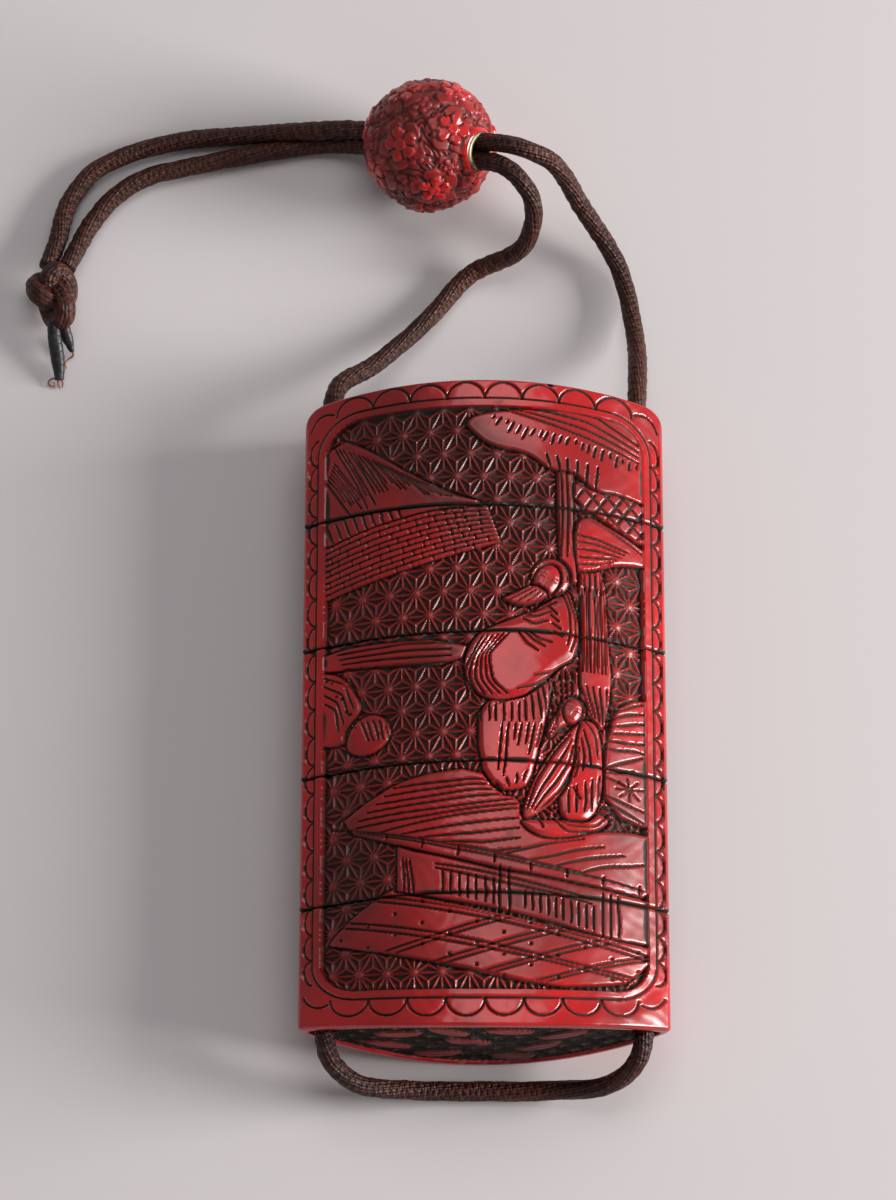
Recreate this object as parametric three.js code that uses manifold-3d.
// Inro: a carved lacquer case in five stacked sections, strung on one silk cord that runs
// through a carved bead to a knot. It lies on its back. Millimetres; +X across the case,
// +Y towards the lid, +Z out of the carved front; z = 0 is the surface it lies on.
import * as THREE from 'three';
import { mergeVertices } from 'three/addons/utils/BufferGeometryUtils.js';
import Module from 'manifold-3d';

const wasm = await Module();
wasm.setup();

// ---- driving dimensions -------------------------------------------------------------
const caseWidth = 52;
const caseHeight = 96.2;
const sectionCount = 5;
const halfThickness = 11;
const edgeRadius = 1.66;
const midPlane = 10.8; // height of the case's middle, so the back is cut by a narrow flat
const lidCrown = 0.86; // how far the lid's ends drop below its crest
const lidCorner = 2.6; // the lid's rounded corners, seen from the front
const baseCrown = 2.15;
const seamGap = 0.3;

const groundDepth = 0.9; // carved ground below the outer surface
const bandDepth = 0.35; // sunk band that the scallops stand on
const panelHalfWidth = 23;
const panelTop = 43.9;
const panelBottom = -42.8;
const panelCorner = 4.6;
const ribWidth = 1.2;

const wallInset = 3; // outer surface to the socket that takes the riser below
const riserInset = 3.3;
const boxInset = 4.2; // outer surface to the compartment
const socketHalfWidth = 19.3;
const riserHalfWidth = 19;
const boxHalfWidth = 18;
const riserHeight = 4.5;
const floorThickness = 1.6;
const baseThickness = 3.6;
const lidRoof = 2.9;

const runnerX = 22.3; // cord runners at both narrow ends
const runnerRadius = 1.7;

const cordRadius = 1.3;
const cordSteps = 77;
const beadRadius = 10.4;
const beadBore = 2.95;
const beadCentre = new THREE.Vector3(-8.1, 90.7, 10.4);
const beadAxis = new THREE.Vector3(0.77, -0.36, 0.53).normalize();

const knotGap = 0.4;
const longWrap = { from: [-64.5, 65.2, 3], to: [-63.1, 56.3, 1.05], radius: 0.95 };
const shortWrap = { from: [-62.3, 65.2, 2.9], to: [-61, 61.2, 1.4], radius: 0.85 };

const lacquer = { color: 0xa81c18, roughness: 0.35, metalness: 0 };
const silk = { color: 0x3a1710, roughness: 0.6, metalness: 0 };
const eyeletMetal = { color: 0xb9b17e, roughness: 0.4, metalness: 1 };
const blackWrap = { color: 0x151414, roughness: 0.5, metalness: 0 };

// ---- helpers ------------------------------------------------------------------------
const arcDrop = // how far the big arcs' centres lie beyond the middle plane
  ((caseWidth / 2 - edgeRadius) ** 2 - (halfThickness - edgeRadius) ** 2) /
  (2 * (halfThickness - edgeRadius));
const arcRadius = arcDrop + halfThickness;

function toSolid(geometry) {
  geometry.deleteAttribute('normal');
  geometry.deleteAttribute('uv');
  const merged = mergeVertices(geometry, 1e-4);
  return new wasm.Manifold(new wasm.Mesh({
    numProp: 3,
    vertProperties: new Float32Array(merged.attributes.position.array),
    triVerts: new Uint32Array(merged.index.array),
  }));
}

function toGeometry(solid) {
  const mesh = solid.getMesh();
  const geometry = new THREE.BufferGeometry();
  geometry.setAttribute('position', new THREE.BufferAttribute(mesh.vertProperties, 3));
  geometry.setIndex(new THREE.BufferAttribute(mesh.triVerts, 1));
  return geometry;
}

function extrude(points, depth) {
  const shape = new THREE.Shape(points.map(([x, y]) => new THREE.Vector2(x, y)));
  return new THREE.ExtrudeGeometry(shape, { depth, bevelEnabled: false });
}

// An outline seen from the front, pushed through from one height to another.
function upright(points, low, high) {
  return toSolid(extrude(points, high - low).translate(0, 0, low));
}

// A cross-section of the case, in X and height above the middle plane, run along Y.
function along(points, low, high) {
  return toSolid(extrude(points, high - low).rotateX(Math.PI / 2).translate(0, high, midPlane));
}

function block(x0, x1, y0, y1, z0, z1) {
  const box = new THREE.BoxGeometry(x1 - x0, y1 - y0, z1 - z0);
  return toSolid(box.translate((x0 + x1) / 2, (y0 + y1) / 2, (z0 + z1) / 2));
}

function arc(cx, cy, rx, ry, from, to, steps) {
  return Array.from({ length: steps + 1 }, (_, i) => {
    const angle = from + ((to - from) * i) / steps;
    return [cx + rx * Math.cos(angle), cy + ry * Math.sin(angle)];
  });
}

function joined(solids) {
  return solids.reduce((sum, solid) => sum.add(solid));
}

function piece(name, geometry, finish) {
  const mesh = new THREE.Mesh(geometry, new THREE.MeshStandardMaterial(finish));
  mesh.name = name;
  return mesh;
}

// Cross-section: two shallow arcs that run into small round edges.
function lensSection(inset, frontSteps = 10, backSteps = 8, edgeSteps = 4) {
  const half = Math.PI / 2;
  const lean = Math.atan2(caseWidth / 2 - edgeRadius, arcDrop);
  const edgeX = caseWidth / 2 - edgeRadius;
  const big = arcRadius - inset;
  const small = edgeRadius - inset;
  return [
    ...arc(0, -arcDrop, big, big, half + lean, half - lean, frontSteps),
    ...arc(edgeX, 0, small, small, half - lean, lean - half, edgeSteps).slice(1, -1),
    ...arc(0, arcDrop, big, big, lean - half, -half - lean, backSteps),
    ...arc(-edgeX, 0, small, small, -half - lean, lean - 3 * half, edgeSteps).slice(1, -1),
  ];
}

// The same section cut off square at both ends, as the sockets, risers and boxes are.
function boxSection(inset, halfWidth, steps = 6) {
  const radius = arcRadius - inset;
  const reach = Math.asin(halfWidth / radius);
  const half = Math.PI / 2;
  return [
    ...arc(0, -arcDrop, radius, radius, half + reach, half - reach, steps),
    ...arc(0, arcDrop, radius, radius, reach - half, -half - reach, steps),
  ];
}

// ---- outer form ---------------------------------------------------------------------
function frontOutline() {
  const points = [];
  const half = caseWidth / 2;
  const steps = 8;
  const shoulder = caseHeight / 2 - lidCrown;
  const topAt = (x) => caseHeight / 2 - lidCrown * (x / half) ** 2;
  for (let i = -steps / 2; i <= steps / 2; i += 1) {
    const x = (i * 2 * (half - lidCorner)) / steps;
    points.push([x, topAt(x)]);
  }
  points.push([half - 0.3 * lidCorner, shoulder - 0.25 * lidCorner]);
  points.push([half, shoulder - lidCorner]);
  points.push([half, baseCrown + 0.6 - caseHeight / 2]);
  for (let i = steps / 2; i >= -steps / 2; i -= 1) {
    const x = (i * 2 * (half - 0.5)) / steps;
    points.push([x, baseCrown * (x / half) ** 2 - caseHeight / 2]);
  }
  points.push([-half, baseCrown + 0.6 - caseHeight / 2]);
  points.push([-half, shoulder - lidCorner]);
  points.push([0.3 * lidCorner - half, shoulder - 0.25 * lidCorner]);
  return points;
}

// The panel's rounded outline, grown by one amount at the sides and another at the ends.
function roundedPanel(sides, ends = sides, cornerSteps = 3) {
  const x = panelHalfWidth + sides;
  const top = panelTop + ends;
  const bottom = panelBottom - ends;
  const radius = panelCorner + sides;
  const half = Math.PI / 2;
  return [
    ...arc(x - radius, top - radius, radius, radius, 0, half, cornerSteps),
    ...arc(radius - x, top - radius, radius, radius, half, 2 * half, cornerSteps),
    ...arc(radius - x, bottom + radius, radius, radius, 2 * half, 3 * half, cornerSteps),
    ...arc(x - radius, bottom + radius, radius, radius, 3 * half, 4 * half, cornerSteps),
  ];
}

// Half-round petals set edge to edge around the frame, longer over the lid and base.
function scallops() {
  const petals = [];
  const x = panelHalfWidth + ribWidth - 0.1;
  const top = panelTop + ribWidth - 0.1;
  const bottom = panelBottom - ribWidth + 0.1;
  const row = (count, from, to, place) => {
    for (let i = 0; i < count; i += 1) {
      const middle = from + ((to - from) * (i + 0.5)) / count;
      place(middle, ((to - from) / count) * 0.47);
    }
  };
  row(8, 3.2 - x, x - 3.2, (m, w) => petals.push(arc(m, top, w, 2.15, 0, Math.PI, 4)));
  row(8, 3.2 - x, x - 3.2, (m, w) => petals.push(arc(m, bottom, w, 2.2, Math.PI, 2 * Math.PI, 4)));
  row(18, bottom + 3.2, top - 3.2, (m, h) => {
    petals.push(arc(x, m, 1.25, h, -Math.PI / 2, Math.PI / 2, 4));
    petals.push(arc(-x, m, 1.25, h, Math.PI / 2, 1.5 * Math.PI, 4));
  });
  return petals;
}

// ---- carved forms -------------------------------------------------------------------
// A strip between two edges that are given as matching lists of points.
function strip(edgeA, edgeB, from, to) {
  const mix = (t) => edgeA.map(([x, y], i) => [
    x + (edgeB[i][0] - x) * t,
    y + (edgeB[i][1] - y) * t,
  ]);
  return [...mix(from), ...mix(to).reverse()];
}

// Bars side by side between two edges, with a groove between neighbours.
function bars(edgeA, edgeB, count, fill) {
  const result = [];
  for (let i = 0; i < count; i += 1) {
    result.push(strip(edgeA, edgeB, i / count, (i + fill) / count));
  }
  return result;
}

function disc(x, y, rx, ry, turn = 0, steps = 9) {
  const c = Math.cos(turn);
  const s = Math.sin(turn);
  return arc(0, 0, rx, ry, 0, 2 * Math.PI, steps).slice(0, -1)
    .map(([px, py]) => [x + px * c - py * s, y + px * s + py * c]);
}

// Front relief, grouped by how far each form's face lies below the outer surface.
const frontRelief = [
  { depth: 0.45, forms: [
    [[-23.2, 24], [-23.2, 37], [-21.8, 41.6], [-17, 38.8], [-9.8, 33.6], [-3.8, 30.2], [0.6, 28.9],
      [-8, 28.3], [-16, 26.9]], // mountain
    [[-23.3, 9.1], [-10.4, 8.5], [-1.7, 8.3], [-3.2, 4.6], [-19, 5.3], [-23.3, 5.9]], // far bank
    [[-2.9, 41.3], [-1.4, 43], [20, 44], [23.1, 41], [23.1, 31], [19.3, 32.2], [16, 32], [12.8, 34.5],
      [9.8, 34.5], [6.1, 36.9], [0.7, 37.5]], // overhanging cliff
    [[13, 33.8], [15.8, 31.9], [19.5, 32.3], [23.1, 31.2], [23.1, 24.5], [18, 27.5], [13, 29.3]],
    [[-0.9, -1], [-1, -10.5], [0.2, -12.8], [2.2, -14.2], [5, -14], [6.6, -12], [9.6, -4], [10, 3]],
    [[-22.2, -17.8], [-19.9, -15.6], [-14.8, -13.3], [-6.8, -10.7], [-1.2, -10.3], [2, -14.4],
      [5, -15.4], [5, -18], [9, -20.6], [18, -18.6], [23.1, -18], [23.1, -28.2], [13, -27.2],
      [1.5, -25.1], [-9.7, -22.1], [-16, -19.9]], // terrace
    [[-12.4, -21.9], [-9.7, -22.2], [23.1, -28], [23.1, -35.3], [17.4, -34.7], [4.8, -32],
      [-12.4, -28.4]], // wall below the terrace
    [[-21.8, -35.3], [-21.8, -33.6], [-13, -27.4], [2.4, -31.6], [17.4, -34.6], [23.1, -35.2],
      [23.1, -39.5], [20.7, -42], [8.9, -42.6], [-5, -39.8], [-11.3, -38]], // lower terrace
    [[18.6, -1.1], [20.2, 0.6], [23.1, 1.8], [23.1, -18], [18.8, -17.4], [16.9, -15.6], [17.1, -7.6]],
  ] },
  { depth: 0.2, forms: [
    ...bars([[-23.2, 24.3], [-16.1, 26.7], [-8.3, 28], [0.4, 28.4]],
      [[-23.2, 15.9], [-15, 18.2], [-6.8, 21], [2.5, 23.2]], 4, 0.8), // brick wall courses
    [[10.4, 34.6], [13.1, 34.8], [13.3, 17], [10.9, 18]], // trunk
    ...bars([[13.4, 19.4], [13.7, 6], [15, -1]], [[17.4, 20.5], [18.5, 6], [17.8, -4.6]], 3, 0.82),
    [[13.2, 28.6], [15.7, 27.9], [19.5, 26.3], [23.1, 24], [23.1, 21.9], [20.6, 21.3], [17.1, 21.4],
      [14.9, 19.3], [13.2, 19.2]], // big leaf
    [[-23.4, 6.3], [-21.4, 5.8], [-19.2, 3.5], [-17.6, 0], [-19.6, -3.6], [-20.4, -6], [-23.4, -6]],
    [[-20, -6.4], [-19.6, -4], [-17.8, -1.9], [-15.4, -1.6], [-13.3, -3.8], [-13.2, -6.2],
      [-15.4, -7.8], [-18.8, -7.9]], // rocks
    [[3.3, 43.3], [12, 41.7], [19.6, 39.9], [23.1, 38.7], [23.1, 40], [20, 44], [3.3, 44]],
    ...bars([[-0.6, -1], [-0.8, -9.8]], [[9.8, 2.6], [7, -9.8]], 5, 0.72), // skirt pleats
    [[-0.6, -10.2], [6.6, -10.2], [5.8, -12.6], [2.6, -13.6], [0.4, -12.4]],
    ...bars([[-18, -14.8], [-1.4, -10.6]], [[-15.6, -20], [1.2, -17.8]], 3, 0.8), // planks
    ...bars([[5, -20.4], [18, -19]], [[2, -25.2], [23, -28]], 3, 0.8),
    [[-22, -18.2], [-9.7, -22.3], [1.5, -25.2], [13, -27.1], [23.1, -28.1], [23.1, -26.9],
      [13, -26], [1.5, -24.1], [-9.7, -21.2], [-21.6, -17.3]], // terrace rail
    ...bars([[-12.3, -22.2], [-12.3, -28]], [[22, -29], [22, -34.4]], 8, 0.6), // posts
    [[-21.7, -35.2], [-11.3, -37.9], [-5, -39.7], [8.9, -42.5], [8.9, -41.2], [-5, -38.5],
      [-11.3, -36.7], [-21.7, -34]],
    [[-12.8, -27.8], [2.4, -31.8], [17.4, -34.8], [23.1, -35.6], [23.1, -37], [17.4, -36.2],
      [2.4, -33.2], [-12.8, -29.2]], // lower terrace rails
    ...bars([[18.6, -1.3], [17.2, -6.5], [17, -14.5]], [[23, 1.6], [23, -7], [23, -17.6]], 2, 0.8),
  ] },
  { depth: 0, forms: [
    [[6.2, 12.9], [9.6, 14.6], [11.8, 17], [13.3, 13.6], [13.8, 9.3], [13.2, 6.1], [10.3, 4.6],
      [8, 1.3], [5.4, -0.4], [2.5, -0.9], [-0.5, -0.6], [-2.3, 1.4], [-3.4, 3.7], [-3.2, 6.1],
      [-1.6, 8.8], [0.7, 10.4], [4.4, 11]], // sage's robe and wide sleeves
    disc(8.7, 18, 2.6, 2.3, 0.3), // sage's head
    disc(9.9, 19, 2.4, 1.5, -0.5), // cap
    [[8, 16.3], [6.4, 17], [4.8, 14.4], [4.3, 12.2], [6, 11.6], [8.4, 13]], // beard
    disc(12.2, -2, 2.5, 2, 0.5), // attendant's head
    [[13.8, -2.3], [16, -2.4], [17.1, -5.4], [17.1, -10.3], [16.8, -15.6], [15, -18.1], [11.6, -18.2],
      [10.6, -15]],
    [[13.6, -3], [9.6, -7.6], [8.3, -9.5], [5.5, -15.4], [4.9, -17.6], [9.4, -16], [13.3, -10.3]],
    [[4.7, -18.1], [6.1, -20.2], [9.1, -20.7], [13.7, -20.2], [18, -18.7], [18.6, -17], [16.8, -16.6],
      [11, -19], [8, -17.2]],
  ] },
];

// Back relief, plainer: a pine on a bank under hills.
const backRelief = [
  { depth: 0.35, forms: [
    [[-23.1, -30], [-12, -27], [2, -29.6], [12, -28], [23.1, -31.5], [23.1, -38], [18, -42.6],
      [-18, -42.6], [-23.1, -38]],
    [[-23.1, 20], [-14, 27], [-6, 23], [2, 25.6], [9, 21], [23.1, 18], [23.1, 15.6], [-23.1, 15.6]],
  ] },
  { depth: 0, forms: [
    [[-5, -30], [-2.4, -14], [-4.4, -3], [-1.6, 8], [2, 8], [0.6, -3], [2, -14], [0.8, -30]],
    disc(-1, 9, 12, 3.6, 0.1, 9),
    disc(9, -2, 9, 3, -0.1, 9),
    disc(-12, -11, 8.4, 2.8, 0.1, 9),
    disc(14, 33, 4.2, 4.2, 0, 9),
  ] },
];

function relief(levels, low, high) {
  return levels.map(({ depth, forms }) => (
    joined(forms.map((form) => upright(form, low, high))).intersect(lens(depth))
  ));
}

function lens(inset) {
  return along(lensSection(inset), -caseHeight, caseHeight);
}

function carvedBody() {
  const outline = upright(frontOutline(), 0, 40);
  const panel = upright(roundedPanel(0), -5, 40);
  const rib = upright(roundedPanel(ribWidth), -5, 40);
  const band = upright(roundedPanel(ribWidth + 1.45, ribWidth + 2.4), midPlane, 40);
  const front = block(-40, 40, -60, 60, midPlane, 40);
  const petals = joined(scallops().map((petal) => upright(petal, midPlane, 40)));
  const border = lens(0).subtract(panel);
  const sunk = band.subtract(rib).subtract(petals).intersect(front).subtract(lens(bandDepth));
  return joined([
    lens(groundDepth),
    border.subtract(sunk),
    ...relief(frontRelief, midPlane, 40),
    ...relief(backRelief, -5, midPlane),
  ]).intersect(outline);
}

// ---- sections -----------------------------------------------------------------------
const pitch = caseHeight / sectionCount;
const crest = caseHeight / 2;
const body = carvedBody();

function runners() {
  return joined([-runnerX, runnerX].map((x) => {
    const bore = new THREE.CylinderGeometry(runnerRadius, runnerRadius, 120, 12);
    return toSolid(bore.translate(x, 0, midPlane));
  }));
}

function hollow(inset, halfWidth, low, high) {
  return along(boxSection(inset, halfWidth), low, high);
}

function section(index) {
  const top = crest - index * pitch;
  const bottom = top - pitch;
  const isLid = index === 0;
  const isBase = index === sectionCount - 1;
  const high = isLid ? crest + 1 : top - seamGap / 2;
  const low = isBase ? -crest - 1 : bottom + seamGap / 2;
  let solid = body.intersect(block(-40, 40, low, high, -1, 40));
  if (isLid) {
    return solid.subtract(hollow(wallInset, socketHalfWidth, low - 1, crest - lidRoof));
  }
  if (!isBase) {
    const roof = bottom + riserHeight + seamGap;
    solid = solid.subtract(hollow(wallInset, socketHalfWidth, low - 1, roof));
  }
  const floor = isBase ? -crest + baseThickness : bottom + riserHeight + seamGap + floorThickness;
  const riser = hollow(riserInset, riserHalfWidth, top - 1, top + riserHeight);
  return solid.add(riser).subtract(hollow(boxInset, boxHalfWidth, floor, top + riserHeight + 1));
}

// ---- cord, bead, knot ---------------------------------------------------------------
// The cord is one length: knot, bead, down the right runner, under the base, up the left
// runner, back through the bead and into the knot again. Its guide points:
const cordRoute = [
  [-65.2, 73.8, 3.2], [-63.9, 78.6, 2.4], [-62.9, 84, 1.7], [-60.9, 88, 1.5], [-57.7, 91.3, 1.5],
  [-47.5, 95.2, 1.5], [-35, 96.4, 1.9], [-24.9, 96, 4.5], [-20.4, 95.9, 5.1],
  [-15.6, 95.2, 5.6], // into the bead
  [0.1, 88.2, 16.6], [2.5, 87.3, 18], [6, 86.4, 18.1], [10.4, 85.3, 15.2], [14.6, 81.8, 8],
  [20.2, 74.3, 2.7], [22.6, 62, 3.7], [22.6, 53.4, 8.7], [runnerX, 46.6, midPlane],
  [runnerX, 40, midPlane], [runnerX, -40, midPlane], // down the right runner
  [runnerX, -46.2, midPlane], [21.3, -49.9, 9.2], [17.6, -52.3, 6], [10.4, -52.3, 2.5],
  [0, -52.2, 1.5], [-10.4, -52.3, 2.5], [-17.6, -52.3, 6], [-21.3, -49.9, 9.2],
  [-runnerX, -46.2, midPlane], [-runnerX, -40, midPlane], // up the left runner
  [-runnerX, 40, midPlane], [-runnerX, 46, midPlane], [-21.3, 51.8, 9.5], [-16.2, 57, 5.6],
  [-8.6, 65.4, 2.4], [-2, 73.2, 2.1], [5.8, 75.6, 6.8], [7.3, 79.3, 13.8], [5.2, 82.2, 16.7],
  [2.4, 84.5, 16.7], [-0.2, 85.8, 15.2], [-16.3, 93.2, 4.2], // back through the bead
  [-20.6, 94.6, 2.3], [-25.4, 94.9, 1.5], [-33.5, 93.6, 1.5], [-44.5, 91.2, 1.5],
  [-51, 89.4, 1.5], [-55.6, 86.2, 1.5], [-58.8, 82, 1.6], [-60.8, 77.6, 2.4], [-62.4, 73.6, 3.2],
];

// A curve whose steps follow its guide points, so they lie closer where it bends.
class GuidedCurve extends THREE.CatmullRomCurve3 {
  getPointAt(u, target) {
    return this.getPoint(u, target);
  }

  getTangentAt(u, target) {
    return this.getTangent(u, target);
  }
}

function tube(points, radius, steps, sides) {
  const curve = new GuidedCurve(points.map(([x, y, z]) => new THREE.Vector3(x, y, z)));
  const turn = Math.PI / sides;
  const ring = arc(0, 0, radius, radius, turn, turn + 2 * Math.PI, sides).slice(0, -1);
  const shape = new THREE.Shape(ring.map(([x, y]) => new THREE.Vector2(x, y)));
  const geometry = new THREE.ExtrudeGeometry(shape, { steps, extrudePath: curve });
  geometry.deleteAttribute('normal');
  geometry.deleteAttribute('uv');
  return mergeVertices(geometry, 1e-4);
}

// Directions spread evenly over a ball, one for each carved blossom.
function blossoms(count) {
  const golden = Math.PI * (3 - Math.sqrt(5));
  return Array.from({ length: count }, (_, i) => {
    const y = 1 - (2 * (i + 0.5)) / count;
    const r = Math.sqrt(1 - y * y);
    return new THREE.Vector3(r * Math.cos(i * golden), y, r * Math.sin(i * golden));
  });
}

function bead() {
  const reach = Math.acos(beadBore / beadRadius);
  const half = Math.sqrt(beadRadius ** 2 - beadBore ** 2);
  const profile = arc(0, 0, beadRadius, beadRadius, -reach, reach, 12)
    .map(([x, y]) => new THREE.Vector2(x, y));
  profile.push(new THREE.Vector2(beadBore, half), new THREE.Vector2(beadBore, -half));
  const geometry = new THREE.LatheGeometry(profile, 22);
  const centres = blossoms(22);
  const spot = new THREE.Vector3();
  const place = geometry.attributes.position;
  for (let i = 0; i < place.count; i += 1) {
    spot.fromBufferAttribute(place, i);
    if (Math.hypot(spot.x, spot.z) > beadBore + 0.7) {
      const nearest = Math.min(...centres.map((c) => c.angleTo(spot)));
      const dip = 0.9 * Math.min(nearest / 0.42, 1) ** 2;
      spot.setLength(beadRadius - dip);
      place.setXYZ(i, spot.x, spot.y, spot.z);
    }
  }
  return geometry;
}

function eyelet(side) {
  const half = Math.sqrt(beadRadius ** 2 - beadBore ** 2);
  const ring = new THREE.LatheGeometry([
    new THREE.Vector2(beadBore + 0.05, 0), new THREE.Vector2(beadBore + 0.65, 0),
    new THREE.Vector2(beadBore + 0.5, 0.4), new THREE.Vector2(beadBore + 0.15, 0.4),
    new THREE.Vector2(beadBore + 0.05, 0),
  ], 12);
  if (side < 0) ring.rotateX(Math.PI);
  return ring.translate(0, side * (half + 0.3), 0);
}

// The room the knot leaves around a piece that comes out of it; it starts a little past its end.
function pocket(points, radius) {
  const past = points[0].map((value, i) => value + (value - points[1][i]) * 0.2);
  return toSolid(tube([past, ...points], radius + knotGap, 4, 6));
}

// The knot: fat turns of both strands wrapped over each other.
function knot() {
  const turns = [
    { at: [-64.5, 71.6, 4], size: [2.4, 1.7], tilt: [1.12, 0.52, 0] },
    { at: [-63.9, 68.6, 4], size: [2.4, 1.75], tilt: [1.2, 0.75, 0] },
    { at: [-64.2, 66, 3.6], size: [1.9, 1.6], tilt: [1.3, -0.5, 0] },
  ].map(({ at, size, tilt }) => {
    const ring = new THREE.TorusGeometry(size[0], size[1], 6, 8);
    ring.rotateX(tilt[0]).rotateY(tilt[1]).rotateZ(tilt[2]).translate(...at);
    return toSolid(ring);
  });
  const core = new THREE.SphereGeometry(1, 8, 6).scale(2.9, 4.6, 2.9);
  const lump = joined([toSolid(core.translate(-64.1, 69.2, 3.9)), ...turns]);
  const floor = block(-80, -40, 40, 80, -10, 0);
  const pockets = [
    pocket(cordRoute.slice(0, 3), cordRadius),
    pocket(cordRoute.slice(-3).reverse(), cordRadius),
    pocket([longWrap.from, longWrap.to], longWrap.radius),
    pocket([shortWrap.from, shortWrap.to], shortWrap.radius),
  ];
  return lump.subtract(floor).subtract(joined(pockets));
}

// ---- the whole object ---------------------------------------------------------------
const inro = new THREE.Group();
const bores = runners();
const sectionNames = ['lid', 'top_case', 'second_case', 'third_case', 'bottom_case'];
sectionNames.forEach((name, index) => {
  inro.add(piece(name, toGeometry(section(index).subtract(bores)), lacquer));
});

const beadGroup = new THREE.Group();
beadGroup.position.copy(beadCentre);
beadGroup.quaternion.setFromUnitVectors(new THREE.Vector3(0, 1, 0), beadAxis);
beadGroup.add(piece('bead', bead(), lacquer));
beadGroup.add(piece('bead_eyelet_right', eyelet(1), eyeletMetal));
beadGroup.add(piece('bead_eyelet_left', eyelet(-1), eyeletMetal));
inro.add(beadGroup);

inro.add(piece('cord', tube(cordRoute, cordRadius, cordSteps, 8), silk));
inro.add(piece('knot', toGeometry(knot()), silk));
inro.add(piece('end_wrap_long', tube([longWrap.from, longWrap.to], longWrap.radius, 3, 8), blackWrap));
inro.add(piece('end_wrap_short', tube([shortWrap.from, shortWrap.to], shortWrap.radius, 2, 8), blackWrap));

export default inro;
